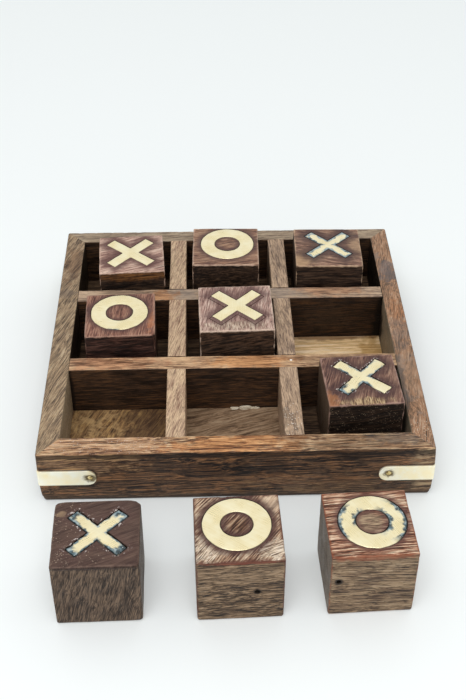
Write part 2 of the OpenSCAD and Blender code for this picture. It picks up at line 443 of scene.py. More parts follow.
def make_divider(node, along_y, seed):
    """A divider with worn top edges; make_tray cuts its notches where the crossing dividers lie."""
    lo, hi = node_box(node)
    across, length = (0, 1) if along_y else (1, 0)
    lo[length] -= 0.3
    hi[length] += 0.3

    def shape(p):
        top = p.z > (lo.z + hi.z) / 2
        radius = 0.5 * (1 + wobble(p, 0.12, 0.4, seed)) if top else 0.1
        q = rounded(p, lo, hi, radius, axes=(across, 2))
        if top:
            q.z -= max(0.0, wobble(q, 0.07, 0.2, seed + 5))
            side = 1 if p[across] > (lo[across] + hi[across]) / 2 else -1
            q[across] -= side * max(0.0, wobble(q, 0.05, 0.15, seed + 2))
            edge = min(q[across] - lo[across], hi[across] - q[across]) + hi.z - q.z
            q.z -= chips(q, seed) if edge < 1 else 0.0
        return q

    near = (0.0, 0.15, 0.35, 0.6, 1.0)
    steps = [spread(lo[a], hi[a], 1.1, (0.0, 0.3) if a == length else near) for a in range(3)]
    return shell_piece(node + "_wood", *steps, shape)


def notch_cutter(node, other):
    """What is cut from a divider for the one that crosses it: from below in cross dividers."""
    lo, hi = node_box(other)
    mine_lo, mine_hi = node_box(node)
    across = 0 if "long" in other else 1
    gap = 0.05
    low, high = mine_lo - Vector((2, 2, 2)), mine_hi + Vector((2, 2, 2))
    low[across], high[across] = lo[across] - gap, hi[across] + gap
    middle = (mine_lo.z + mine_hi.z) / 2
    if "long" in node:
        low.z = middle - gap
    else:
        high.z = middle
    return shell_piece("cutter", *[[low[a], high[a]] for a in range(3)], lambda p: p)


def make_base():
    """The base board, its lower edge rounded off and its rim a little inside the rails."""
    def shape(p):
        radius = 0.25 if p.z > BASE_TOP / 2 else 1.35 * (1 + wobble(p, 0.05, 0.3, 4))
        return sand(rounded(p, BASE_LO, BASE_HI, min(radius, BASE_TOP * 0.48)), 0.2)

    across = spread(-HALF, HALF, 2.5, (0.0, 0.3, 0.7, 1.2, 1.8, 2.6))
    heights = spread(0, BASE_TOP, 0.5, (0.0, 0.2, 0.5, 0.9, 1.3))
    return shell_piece("base_board_wood", across, across, heights, shape)


def make_glue(name, middle, size, seed):
    """A dried drop of glue on the board, against the wall behind it."""
    def shape(p):
        q = eased(p)
        q *= 1 + wobble(q, 1.3, 0.5, seed)
        spot = Vector([middle[a] + q[a] * size[a] for a in range(3)])
        spot.y = min(spot.y, middle.y)
        spot.z = max(spot.z, BASE_TOP + 0.02)
        return spot

    line = [i / 8 - 1 for i in range(17)]
    return shell_piece(name, line, line[:9], line[8:], shape, smooth=80)


# ---------------------------------------------------------------- cubes and inlays

def hand_cut(points, seed, step, amount):
    """The outline through the points in short steps, each nudged a little if there is a seed."""
    cut = []
    for i, start in enumerate(points):
        end = points[(i + 1) % len(points)]
        count = max(1, round((end - start).length / step))
        cut += [start.lerp(end, k / count) for k in range(count)]
    if seed is None:
        return cut

    def nudge(p):
        return Vector((wobble(p, 0.45, amount, seed), wobble(p, 0.45, amount, seed + 40), 0))

    return [p + nudge(p) for p in cut]


def cross_outline(grow, seed=None, amount=0.1):
    """Points round a cross of two bars at 45 degrees; a seed makes its edges hand-cut."""
    a, b = BAR_HALF_LENGTH + grow, BAR_HALF_WIDTH + grow
    corners = []
    for quarter in range(4):
        turn = Matrix.Rotation(math.pi / 4 + math.pi / 2 * quarter, 3, "Z")
        corners += [turn @ Vector((a, -b, 0)), turn @ Vector((a, b, 0)), turn @ Vector((b, b, 0))]
    return hand_cut(corners, seed, 0.45, amount)


def circle_outline(radius, seed=None, amount=0.1, steps=96):
    """Points round a circle; a seed makes it a little uneven."""
    angles = [2 * math.pi * i / steps for i in range(steps)]
    points = [Vector((math.cos(a), math.sin(a), 0)) * radius for a in angles]
    return hand_cut(points, seed, radius, amount)


def inset(points, amount):
    """The outline moved inwards by amount, square to its edges."""
    moved = []
    for i, p in enumerate(points):
        along = (points[(i + 1) % len(points)] - points[i - 1]).normalized()
        moved.append(p + Vector((-along.y, along.x, 0)) * amount)
    return moved


def band(faces, a, b, count):
    """Quads between two rings of the same number of points."""
    for i in range(count):
        j = (i + 1) % count
        faces.append((a + i, a + j, b + j, b + i))


def outline_solid(name, outer, inner, z0, z1, edge):
    """A plate with that outline, and a hole if inner is given, its upper edges eased by edge."""
    verts, faces = [], []

    def rings_of(points, way):
        steps = [(points, z0), (points, z1 - edge)]
        if edge > 0:
            steps.append((inset(points, way * edge * 0.35), z1 - edge * 0.3))
            steps.append((inset(points, way * edge), z1))
        starts = []
        for ring, z in steps:
            starts.append(len(verts))
            verts.extend(Vector((p.x, p.y, z)) for p in ring)
        return starts

    n = len(outer)
    rings = rings_of(outer, 1)
    for a, b in zip(rings, rings[1:]):
        band(faces, a, b, n)
    if inner is None:
        faces.append([rings[0] + i for i in reversed(range(n))])
        faces.append([rings[-1] + i for i in range(n)])
        return make_piece(name, verts, faces, smooth=60)
    holes = rings_of(inner, -1)
    for a, b in zip(holes, holes[1:]):
        band(faces, b, a, n)
    band(faces, rings[-1], holes[-1], n)
    band(faces, holes[0], rings[0], n)
    return make_piece(name, verts, faces, smooth=60)


def mark_solid(name, cube, z0, z1, grow=0.0, seed=None, edge=0.0, amount=0.1):
    """The brass mark at its place on the cube, or with grow the recess that it lies in."""
    if cube.mark == "x":
        outer, inner = cross_outline(grow, seed, amount), None
    else:
        outer = circle_outline(RING_OUTER + grow, seed, amount)
        inner = circle_outline(RING_INNER - grow, seed and seed + 9, amount)
    solid = outline_solid(name, outer, inner, z0, z1, edge)
    solid.data.transform(Matrix.Translation(cube.spot * MM))
    return solid


def knife_line(cube):
    """A second, misplaced knife line below a cross, to cut with."""
    outer = cross_outline(1.1)
    line = outline_solid("groove", outer, inset(outer, 0.4), cube.side - 0.3, cube.side + 1, 0)
    line.data.transform(Matrix.Translation((cube.spot + Vector((0, -1.7, 0))) * MM))
    return line


def make_cube(cube, seed, top=0.45, corners={}, holes=(), groove=False, lip=0.0):
    """A sanded wooden cube with the recess for its mark, drawn round its own upright axis.

    top is the radius of its upper edges, corners says how much more some upright edges have,
    holes are nail holes in its front, and lip is how far the front lies back under the upper edge.
    """
    side = cube.side
    half = side / 2
    lo, hi = Vector((-half, -half, 0)), Vector((half, half, side))
    middle = Vector((0, 0, half))

    def shape(p):
        high = max(0.0, 1 - (side - p.z) / CUBE_EDGE_REACH)
        low = max(0.0, 1 - p.z / CUBE_EDGE_REACH)
        radius = CUBE_EDGE_R + (top - CUBE_EDGE_R) * high + CUBE_FOOT_R * low
        for (x, y), more in corners.items():
            toward = min(p.x * x, p.y * y) / half
            radius += more * max(0.0, (toward - 0.75) * 4)
        radius *= 1 + wobble(p, 0.13, 0.35, seed)
        q = rounded(p, lo, hi, radius)
        off = (q - middle) / half
        for a in range(3):
            others = [off[b] ** 4 for b in range(3) if b != a]
            q[a] -= math.copysign(CUBE_CROWN * sum(others), off[a]) * (abs(off[a]) > 0.9)
        inwards = (middle - q).normalized()
        if q.z > 0.02:
            q += inwards * max(0.0, wobble(q, 0.11, 0.1, seed + 6))
        q.y += lip * clamp((side - LIP_HEIGHT - q.z) / 0.5) * clamp(-4 * q.y / half - 3)
        edges = sorted(half - abs(c) for c in q - middle)
        if edges[0] + edges[1] < 1 and q.z > half:
            q += inwards * chips(q, seed)
        return q

    steps = [spread(lo[a], hi[a], 1.1, (0.0, 0.15, 0.35, 0.65, 1.1, 1.7, 2.4)) for a in range(3)]
    block = shell_piece(cube.node + "_wood", *steps, shape)
    recess_floor = side - INLAY_T - RECESS_DEEPER
    cutters = [mark_solid("cutter", cube, recess_floor, side + 1, grow=RECESS_GAP)]
    if groove:
        cutters.append(knife_line(cube))
    for x, z, r in holes:
        profile = [(0, -HOLE_DEPTH - 0.1), (r * 0.7, -HOLE_DEPTH), (r, -0.2), (r * 1.1, 1), (0, 1)]
        cutters.append(aim(lathe("hole", profile, 16), Vector((x, -half, z)), Vector((0, -1, 0))))
    carve(block, cutters)
    return block


# ---------------------------------------------------------------- materials

def paint(code):
    """The linear colour of a web colour code."""
    parts = [int(code[i:i + 2], 16) / 255 for i in (1, 3, 5)]
    return [c / 12.92 if c <= 0.04045 else ((c + 0.055) / 1.055) ** 2.4 for c in parts] + [1.0]


class Nodes:
    """A node tree, made a node at a time. The methods take and give sockets or numbers."""

    def __init__(self, tree):
        self.tree = tree
        tree.nodes.clear()

    def node(self, kind, inputs=None, **settings):
        made = self.tree.nodes.new("ShaderNode" + kind)
        for key, value in settings.items():
            setattr(made, key, value)
        for key, value in (inputs or {}).items():
            if isinstance(value, bpy.types.NodeSocket):
                self.tree.links.new(value, made.inputs[key])
            else:
                made.inputs[key].default_value = value
        return made

    def math(self, operation, *values):
        return self.node("Math", dict(enumerate(values)), operation=operation).outputs[0]

    def plus(self, a, b):
        return self.math("ADD", a, b)

    def minus(self, a, b):
        return self.math("SUBTRACT", a, b)

    def times(self, a, b):
        return self.math("MULTIPLY", a, b)

    def scaled(self, value, factor, offset):
        return self.math("MULTIPLY_ADD", value, factor, offset)

    def least(self, a, b):
        return self.math("MINIMUM", a, b)

    def most(self, a, b):
        return self.math("MAXIMUM", a, b)

    def vector(self, operation, *values, out=0):
        return self.node("VectorMath", dict(enumerate(values)), operation=operation).outputs[out]

    def length(self, vector):
        return self.vector("LENGTH", vector, out=1)

    def fit(self, value, low, high, start=0.0, end=1.0):
        """start where value is low, end where it is high, and smooth between."""
        turned = low > high
        spots = {"Value": value, "From Min": min(low, high), "From Max": max(low, high)}
        spots["To Min"], spots["To Max"] = (end, start) if turned else (start, end)
        return self.node("MapRange", spots, interpolation_type="SMOOTHSTEP").outputs[0]


class Surface(Nodes):
    """One node material for a piece, with places on the piece in millimetres."""

    def __init__(self, name):
        self.material = bpy.data.materials.new(name)
        self.material.use_nodes = True
        super().__init__(self.material.node_tree)
        spot = self.node("TexCoord")
        to_mm = {0: spot.outputs["Object"], "Scale": 1 / MM}
        self.mm = self.node("VectorMath", to_mm, operation="SCALE").outputs[0]
        self.x, self.y, self.z = self.node("SeparateXYZ", {0: self.mm}).outputs
        self.normal = spot.outputs["Normal"]
        self.relief = 0.0
        self.tarnish = None

    def noise(self, vector, size, detail=2.0, rough=0.55):
        """Noise whose features are about that many millimetres long in each direction."""
        scaled = self.vector("DIVIDE", vector, size)
        spots = {"Vector": scaled, "Scale": 1.0, "Detail": detail, "Roughness": rough}
        return self.node("TexNoise", spots).outputs[0]

    def cloud(self, size, detail=2.0, rough=0.55):
        """Noise whose features are about that many millimetres long in every direction."""
        return self.noise(self.mm, (size,) * 3, detail, rough)

    def rag(self, size, amount, detail=3):
        """Noise from about -amount to amount, to make an edge ragged."""
        return self.scaled(self.cloud(size, detail, 0.6), amount * 4, -amount * 2)

    def mix(self, factor, a, b, blend="MIX"):
        spots = {0: factor, 6: a, 7: b}
        return self.node("Mix", spots, data_type="RGBA", blend_type=blend, clamp_factor=True).outputs[2]

    def ramp(self, value, codes):
        """The colours in codes, evenly spread from value 0 to value 1."""
        made = self.node("ValToRGB", {0: value})
        stops = made.color_ramp.elements
        while len(stops) < len(codes):
            stops.new(0.5)
        for i, code in enumerate(codes):
            stops[i].position = i / (len(codes) - 1)
            stops[i].color = paint(code)
        return made.outputs[0]

    def finish(self, colour, roughness, height, depth, metallic=0.0, specular=0.5):
        """The shader, with height as a bump of that depth in millimetres."""
        bump = self.node("Bump", {"Strength": 1.0, "Distance": depth * MM, "Height": height}).outputs[0]
        spots = {"Base Color": colour, "Roughness": roughness, "Metallic": metallic, "Normal": bump}
        spots["Specular IOR Level"] = specular
        shader = self.node("BsdfPrincipled", spots).outputs[0]
        self.node("OutputMaterial", {0: shader})
        return self.material


# A layer is a function of a surface and the colour so far, and gives the new colour.

def flat(code):
    return lambda s, colour: paint(code)


def tint(code):
    return lambda s, colour: s.mix(1.0, colour, paint(code), "MULTIPLY")


def shown(mask, layer, strength=1.0):
    """The layer where mask(surface) is 1."""
    def masked(s, colour):
        return s.mix(s.times(mask(s), strength), colour, layer(s, colour))
    return masked


def within(centre, size, layer, strength=1.0, ragged=0.5, grit=2.5):
    """The layer in a blotch with ragged edges, at that place on the piece."""
    def near(s):
        far = s.length(s.vector("DIVIDE", s.vector("SUBTRACT", s.mm, centre), size))
        return s.fit(s.plus(far, s.rag(grit, ragged)), 1.3, 0.6)
    return shown(near, layer, strength)


def on_rim(x, y, wide, deep, layer, *ragged):
    """The layer in a blotch on the tray's rim."""
    return within((x, y, RIM), (wide, deep, 4), layer, *ragged)


def on_top(x, y, wide, deep, layer, *ragged):
    """The layer in a blotch on a cube's top."""
    return within((x, y, 30), (wide, deep, 4), layer, *ragged)


def on_wall(y, x, z, wide, high, layer, *ragged):
    """The layer in a blotch on the wall that stands at y."""
    return within((x, y, z), (wide, 3, high), layer, *ragged)


def boxed(low, high, layer):
    """The layer between two corners in X and Y."""
    def inside(s):
        a = s.least(s.minus(s.x, low[0]), s.minus(high[0], s.x))
        b = s.least(s.minus(s.y, low[1]), s.minus(high[1], s.y))
        return s.fit(s.least(a, b), -0.2, 0.2)
    return shown(inside, layer)


def at_height(low, high, layer, strength):
    """The layer between two heights, with ragged edges."""
    def inside(s):
        z = s.plus(s.z, s.rag(9, 0.6, 4))
        near = s.least(s.minus(z, low), s.minus(high, z))
        return s.fit(near, -0.15, 0.35)
    return shown(inside, layer, strength)


def facing(way, layer, strength=1.0):
    """The layer on the side that faces that way."""
    def towards(s):
        return s.fit(s.vector("DOT_PRODUCT", s.normal, way, out=1), 0.4, 0.8)
    return shown(towards, layer, strength)


def on_side(way, *layers):
    """The layers, each only on the side that faces that way."""
    return [facing(way, layer) for layer in layers]


def specks(code, size, amount, strength=1.0):
    """Small spots of that colour; amount is the share of the surface that they take."""
    def dots(s):
        spots = {"Vector": s.vector("DIVIDE", s.mm, (size * 2,) * 3), "Scale": 1.0}
        near = s.node("TexVoronoi", spots).outputs["Distance"]
        edge = 0.62 - 0.25 * amount
        some = s.fit(s.cloud(size * 4, 2), edge, edge + 0.06)
        return s.times(s.fit(near, 0.34, 0.2), some)
    return shown(dots, flat(code), strength)


def clouds(code, size, amount, strength=1.0):
    """Soft patches of that colour."""
    edge = 0.66 - 0.4 * amount

    def patches(s):
        return s.fit(s.cloud(size, 3), edge, edge + 0.12)
    return shown(patches, flat(code), strength)


def grained(tones, grain, seed, size=(10, 0.5), bend=4.0, contrast=1.5, lines=0.6, pores=0.5):
    """Wood whose grain runs along that direction, its tones from dark to light, with dark lines in it."""
    def layer(s, colour):
        turn = Vector(grain).rotation_difference(Vector((1, 0, 0))).to_euler()
        spots = {0: s.mm, "Location": (seed * 31, seed * 17, seed * 7), "Rotation": turn}
        g = s.node("Mapping", spots).outputs[0]
        sway = s.scaled(s.noise(g, (45, 12, 12)), bend, -bend / 2)
        g = s.vector("ADD", g, s.node("CombineXYZ", {1: sway, 2: sway}).outputs[0])
        long, thin = size
        broad = s.noise(g, (long * 2.5, thin * 6, thin * 6), 3)
        streaks = s.noise(g, (long, thin, thin), 2, 0.6)
        fibre = s.noise(g, (3.5, 0.22, 0.22))
        level = s.scaled(broad, 0.26, s.times(streaks, 0.52))
        level = s.scaled(fibre, 0.22, level)
        half_range = 0.16 / contrast
        wood_colour = s.ramp(s.fit(level, 0.5 - half_range, 0.5 + half_range), tones)
        where = s.fit(s.noise(g, (25, 6, 6)), 0.42, 0.6, 0.15 * lines, lines)
        line = s.fit(s.noise(g, (long * 0.9, thin * 0.9, thin * 0.9), 1), 0.58, 0.64)
        line = s.times(line, where)
        wood_colour = s.mix(line, wood_colour, paint("#1a120e"))
        pore = s.fit(s.noise(g, (2.6, 0.24, 0.24), 1), 0.62, 0.67, 0.0, pores)
        wood_colour = s.mix(pore, wood_colour, paint("#241812"))
        s.relief = s.minus(s.scaled(fibre, 0.6, streaks), s.plus(line, pore))
        return wood_colour
    return layer


def wood(name, graining, layers=()):
    """A wooden surface: its graining, and the layers over it."""
    s = Surface(name)
    colour = grained(**graining)(s, None)
    relief = s.relief
    for layer in layers:
        colour = layer(s, colour)
    roughness = s.fit(s.plus(s.cloud(7, 3), s.rag(0.5, 0.1, 1)), 0.3, 0.7, 0.42, 0.62)
    return s.finish(colour, roughness, relief, 0.1, specular=0.22)


def brass(name, seed, tones, layers=(), rough=(0.26, 0.36), metallic=1.0):
    """Hand-rubbed brass: short fine scratches, and what the layers add."""
    s = Surface(name)
    spots = {0: s.mm, "Location": (seed * 13, seed * 29, seed * 5), "Rotation": (0, 0, 0.6 + seed)}
    g = s.node("Mapping", spots).outputs[0]
    scratches = s.noise(g, (7, 0.22, 0.22), 3)
    cloud = s.noise(g, (6, 6, 6), 2)
    level = s.fit(s.scaled(scratches, 0.4, s.times(cloud, 0.6)), 0.34, 0.66)
    colour = s.ramp(level, tones)
    for layer in layers:
        colour = layer(s, colour)
    roughness = s.scaled(level, rough[1] - rough[0], rough[0])
    height = s.scaled(scratches, 0.4, cloud)
    if s.tarnish is not None:
        roughness = s.scaled(s.tarnish, 0.3, roughness)
        metallic = s.scaled(s.tarnish, -0.9 * metallic, metallic)
        height = s.plus(height, s.times(s.tarnish, s.cloud(0.6)))
    return s.finish(colour, roughness, height, 0.03, metallic=metallic)


# ---------------------------------------------------------------- layers for a cube of a given size

class Cube:
    """A cube's measures, for the masks that follow its edges and its mark."""

    def __init__(self, body):
        self.mark = body[0]
        self.node = body.replace("piece", "cube")
        self.inlay = body.replace("piece", "inlay")
        lo, hi = node_box(self.node)
        self.side = hi.z - lo.z
        self.foot = Vector(((lo.x + hi.x) / 2, (lo.y + hi.y) / 2, lo.z))
        self.turn = turn_of(self.node)
        off = Matrix.Rotation(-self.turn, 3, "Z") @ (centre_of(self.inlay) - self.foot)
        self.spot = Vector((off.x, off.y, 0))

    def edge(self, s):
        """How far a point lies from the nearest edge."""
        a = s.minus(self.side / 2, s.math("ABSOLUTE", s.x))
        b = s.minus(self.side / 2, s.math("ABSOLUTE", s.y))
        c = s.least(s.z, s.minus(self.side, s.z))
        near, far = s.least(a, b), s.most(a, b)
        return s.most(near, s.least(far, c))

    def outside(self, s):
        """How far a point on the top lies outside the brass mark, and less than 0 on it."""
        x, y = s.minus(s.x, self.spot.x), s.minus(s.y, self.spot.y)
        if self.mark == "o":
            r = s.length(s.node("CombineXYZ", {0: x, 1: y}).outputs[0])
            return s.most(s.minus(r, RING_OUTER), s.minus(RING_INNER, r))
        u = s.math("ABSOLUTE", s.times(s.plus(x, y), math.sqrt(0.5)))
        v = s.math("ABSOLUTE", s.times(s.minus(x, y), math.sqrt(0.5)))
        bars = []
        for along, across in ((u, v), (v, u)):
            past = s.minus(along, BAR_HALF_LENGTH)
            bars.append(s.most(past, s.minus(across, BAR_HALF_WIDTH)))
        return s.least(*bars)

    def top(self, s):
        return s.fit(s.z, self.side - 0.9, self.side - 0.35)

    def worn(self, code, width, strength, on_top=1.6):
        """Rubbed wood along the edges, further in on the top."""
        def near(s):
            reach = s.fit(s.z, self.side - 2.2, self.side - 0.3, width, width * on_top)
            far = s.math("DIVIDE", s.plus(self.edge(s), s.rag(3, 0.5, 3)), reach)
            return s.fit(far, 1.25, 0.2)
        return shown(near, flat(code), strength)

    def halo(self, code, width, strength):
        """The stain round the brass mark."""
        def near(s):
            far = s.plus(self.outside(s), s.rag(2.5, width * 0.3))
            return s.times(s.fit(far, width * 1.5, width * 0.2), self.top(s))
        return shown(near, flat(code), strength)

    def glint_specks(self, code, width, strength):
        """Painted glints: pale specks of painted highlight round the brass mark."""
        def near(s):
            far = s.math("ABSOLUTE", s.minus(self.outside(s), width / 2))
            some = s.fit(s.cloud(0.9, 2), 0.56, 0.64)
            patch = s.fit(s.cloud(7, 1), 0.42, 0.5)
            some = s.times(some, s.times(patch, self.top(s)))
            return s.times(s.fit(far, width, width * 0.4), some)
        return shown(near, flat(code), strength)

    def outline(self, strength=0.85):
        """A thin dark line against the brass."""
        def near(s):
            return s.times(s.fit(self.outside(s), 0.45, 0.05), self.top(s))
        return shown(near, flat("#1d1410"), strength)

    def patina(self, code, reach, where=None):
        """Blue-grey tarnish along the edges of the brass mark, with pale specks of painted glint in it."""
        def layer(s, colour):
            inside = s.times(self.outside(s), -1)
            cover = s.fit(s.plus(inside, s.rag(3, reach * 0.7, 2)), reach, reach * 0.4)
            if where:
                centre, size = where
                far = s.length(s.vector("SUBTRACT", s.mm, centre))
                cover = s.times(cover, s.fit(far, size, size * 0.6))
            s.tarnish = cover if s.tarnish is None else s.most(s.tarnish, cover)
            blotchy = s.ramp(s.fit(s.cloud(1.6, 2), 0.3, 0.7), ("#333c3e", code, "#a5b0b0"))
            colour = s.mix(cover, colour, blotchy)
            rim = s.times(cover, s.fit(inside, 0.6, 0.1))
            colour = s.mix(rim, colour, paint("#1d2224"))
            # white specks on the tarnish: painted glints
            glint_specks = s.times(cover, s.fit(s.cloud(0.6, 1), 0.7, 0.76))
            return s.mix(glint_specks, colour, paint("#f3f6f2"))
        return layer


# ---------------------------------------------------------------- placing

def show(obj, body, node, slot, material):
    """Gives obj its material and its body, and hides the CAD node that it stands for. slot is not used."""
    obj.data.materials.clear()
    obj.data.materials.append(material)
    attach(obj, body)
    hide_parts(node)
    return obj


def turn_of(node):
    """How far a CAD cube is turned about Z, from the way its walls face."""
    sum_sin, sum_cos = 0.0, 0.0
    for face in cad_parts[node].data.polygons:
        if abs(face.normal.z) < 0.01:
            angle = 4 * math.atan2(face.normal.y, face.normal.x)
            sum_sin += face.area * math.sin(angle)
            sum_cos += face.area * math.cos(angle)
    return math.atan2(sum_sin, sum_cos) / 4


# ---------------------------------------------------------------- the tray

FRONT, BACK, LEFT, RIGHT, UP = (0, -1, 0), (0, 1, 0), (-1, 0, 0), (1, 0, 0), (0, 0, 1)

OUTER = ("#20150f", "#3d2c21", "#594331", "#6f5039", "#946844")
RUBBED = ("#3a2a20", "#77604c", "#9a8064", "#b2946f", "#cbb08a")
LIGHTER = ("#2b1e16", "#5d4533", "#7e6049", "#9a7858", "#c29a6c")
# Tones for the fronts of the dividers and the back rail: dark wood, darkened further as painted shade
DARK_AND_SHADED = ("#1d130d", "#33241a", "#443023", "#5c4029")


def front_figure(tones, seed, *more):
    """The long figure of the tray's front."""
    return grained(tones, (1, 0.01, 0.04), seed, *more)


def outer_wood(grain, seed):
    """The tray's other outer walls."""
    return grained(OUTER, grain, seed, (12, 0.6), 5, 1.6, 0.8)


def dark_and_shaded_wood(seed):
    """The dark front of a divider or of the back rail: dark wood, darkened further as painted shade on the
    faces that look to the front.
    """
    return grained(DARK_AND_SHADED, (1, 0, 0.04), seed)


# Each rail's graining, and the layers painted over it
RAILS = {
    "front": (
        dict(
            tones=("#543c2e", "#8e674b", "#b7906b", "#cda47a", "#dfc29d"),
            grain=(1, 0.02, 0.03), seed=3, size=(14, 0.4), lines=1.0, contrast=1.6,
        ),
        [
            on_rim(-50, -70, 26, 7, tint("#f6ecec"), 0.8, 0.8, 5),
            on_rim(-50, -70, 24, 6, specks("#ddd2cc", 0.35, 0.5, 0.5)),
            on_rim(0, -71, 24, 6, tint("#ffd6aa"), 0.7, 0.8, 5),
            on_rim(46, -71, 30, 6, tint("#c6c4c6"), 0.9, 0.7, 5),
            on_rim(62, -69, 11, 4, flat("#5b5451"), 0.4, 0.9, 3),
            *on_side(
                FRONT,
                front_figure(OUTER, 4, (26, 0.46), 8, 1.8, 0.9, 0.7),
                on_wall(-HALF, -60, 21, 20, 5, front_figure(LIGHTER, 5, (20, 0.55), 7, 1.8), 0.8, 0.8, 6),
                on_wall(-HALF, 73, 10, 7, 18, front_figure(RUBBED, 5, (20, 0.5), 7, 1.9), 0.6, 0.5, 6),
                on_wall(-HALF, 28, 8, 26, 6, front_figure(LIGHTER, 5, (22, 0.42), 8, 1.6), 0.35, 0.9, 8),
                on_wall(-HALF, 2, 16, 26, 4, tint("#948880"), 0.6, 0.9, 8),
                # dark band just under the top edge of the front: painted shade
                at_height(RIM - 2.6, RIM - 0.4, flat("#1c130e"), 0.75),
            ),
        ],
    ),
    "right": (
        dict(
            tones=("#5a4537", "#836650", "#987459", "#a97e5f", "#b59a83"),
            grain=(0.12, 1, 0.02), seed=5, size=(9, 0.6), bend=12, lines=0.5, contrast=1.1,
        ),
        [
            clouds("#8a7c72", 9, 0.3, 0.5),
            on_rim(71, 40, 4, 9, flat("#55565c"), 0.55, 0.9, 4),
            on_rim(72, 10, 3, 9, tint("#ffe0c0"), 0.5, 0.8, 5),
            on_rim(71, -5, 4, 9, flat("#6b5f59"), 0.4, 0.9, 4),
            on_rim(71, -30, 4, 14, flat("#9c8069"), 0.35, 0.9, 5),
            on_rim(67.4, -36, 1.5, 17, flat("#4b4745"), 0.6, 0.7, 4),
            on_rim(71, -66, 5, 8, specks("#dccbb6", 0.35, 0.6, 0.7)),
            facing(LEFT, flat("#6e6d5e"), 0.65),
            *on_side(
                LEFT,
                # darker on the inner wall of the back cell, where the cube stands close: painted shade
                boxed((0, 20), (80, 80), tint("#5a504a")),
                # near-black in the corner with the back cross divider: painted shade
                within((68, 19, 8), (3, 4.5, 11), flat("#15100c"), 0.9, 0.3, 3),
            ),
            facing(RIGHT, outer_wood((0.03, 1, 0.03), 6)),
        ],
    ),
    "back": (
        dict(
            tones=("#655345", "#8d7965", "#a48f78", "#b39f86"),
            grain=(1, 0.03, -0.02), seed=7, size=(11, 0.65), lines=0.4, contrast=1.2,
        ),
        [
            on_rim(50, 72, 18, 5, flat("#b09a80"), 0.45, 0.8, 5),
            # the back rail's front face: dark wood, darkened further as painted shade
            facing(FRONT, dark_and_shaded_wood(8)),
            facing(BACK, outer_wood((1, 0.02, 0.03), 9)),
        ],
    ),
    "left": (
        dict(
            tones=("#4d3c30", "#7d6955", "#977e63", "#a98f70", "#bba68a"),
            grain=(0.35, 1, 0.05), seed=11, size=(10, 0.45), bend=5, lines=0.5, contrast=1.15,
        ),
        [
            on_rim(-72, 27, 4, 3.5, flat("#5f5148"), 0.55, 0.7, 4),
            on_rim(-70, 50, 5, 14, tint("#cdbcb4"), 0.8, 0.7, 5),
            facing(RIGHT, flat("#a8997f"), 0.4),
            # darker on the inner wall of the middle and back cells: painted shade
            facing(RIGHT, boxed((-80, -20), (0, 80), tint("#5a504a"))),
            facing(LEFT, outer_wood((0.03, 1, 0.03), 12)),
        ],
    ),
}

PALE_TAN = ("#8a6a54", "#b6977e", "#caab8a", "#d8bb99")
TAN = ("#75573f", "#b18b6c", "#c8a07a", "#d8b38c")
GREY_TAN = ("#766152", "#a38973", "#b6987d", "#c6aa8e")

# Each divider's graining, the layers along its top, and those on its front
DIVIDERS = {
    "left_long_divider": (
        dict(tones=PALE_TAN, grain=(0.25, 1, 0), seed=21, size=(6, 0.5), lines=0.4, contrast=1.2),
        [],
        [],
    ),
    "right_long_divider": (
        dict(tones=GREY_TAN, grain=(-0.1, 1, 0.03), seed=23, size=(6, 0.5), lines=0.4, contrast=1.2),
        [
            on_rim(21.6, -60, 4, 13, clouds("#5f4f42", 4, 0.5, 0.5)),
            on_rim(21.6, -58, 4, 9, specks("#eadfd2", 0.4, 0.7, 0.8)),
        ],
        [],
    ),
    "front_cross_divider": (
        dict(tones=TAN, grain=(1, 0.02, 0), seed=25, size=(12, 0.55), contrast=1.5),
        [
            on_rim(-50, -22, 18, 5, tint("#f4d6cc"), 0.6, 0.7, 5),
            on_rim(8, -22, 16, 5, tint("#ffd6a8"), 0.6, 0.7, 5),
            on_rim(46, -22, 22, 5, tint("#c2bdb9"), 0.8, 0.8, 5),
            within((23.8, -21.8, RIM), (0.5, 0.5, 2), flat("#f4efe6"), 1.0, 0.1),
        ],
        # near-black strip at the wall's left end, in the front left cell's corner: painted shade
        [on_wall(-26, -67, 12, 1.5, 14, flat("#140d0a"), 0.9, 0.2)],
    ),
    "back_cross_divider": (
        dict(tones=GREY_TAN, grain=(1, -0.03, 0), seed=27, size=(12, 0.6), contrast=1.4),
        [
            on_rim(-20, 25, 7, 6, flat("#857b73"), 0.4, 0.9, 4),
            on_rim(24, 26, 8, 6, flat("#857d77"), 0.4, 0.9, 4),
            on_rim(-30, 24, 6, 5, tint("#ffcfa0"), 0.7, 0.8, 4),
            on_rim(45, 27, 14, 5, tint("#ffd6ba"), 0.5, 0.8, 5),
        ],
        [
            # the middle right cell's back wall darkened: painted shade
            on_wall(20.8, 46, 14, 26, 14, tint("#bdb4ac"), 0.9, 0.3, 5),
            on_wall(20.8, 43, 14, 9, 7, flat("#5a4230"), 0.15, 0.8, 4),
            # near-black at the wall's right end, in the cell's corner: painted shade
            on_wall(20.8, 67.2, 8, 3.6, 9, flat("#080504"), 0.95, 0.3),
            on_wall(20.8, 66.8, 18, 2.4, 9, flat("#0d0806"), 0.95, 0.15),
        ],
    ),
}


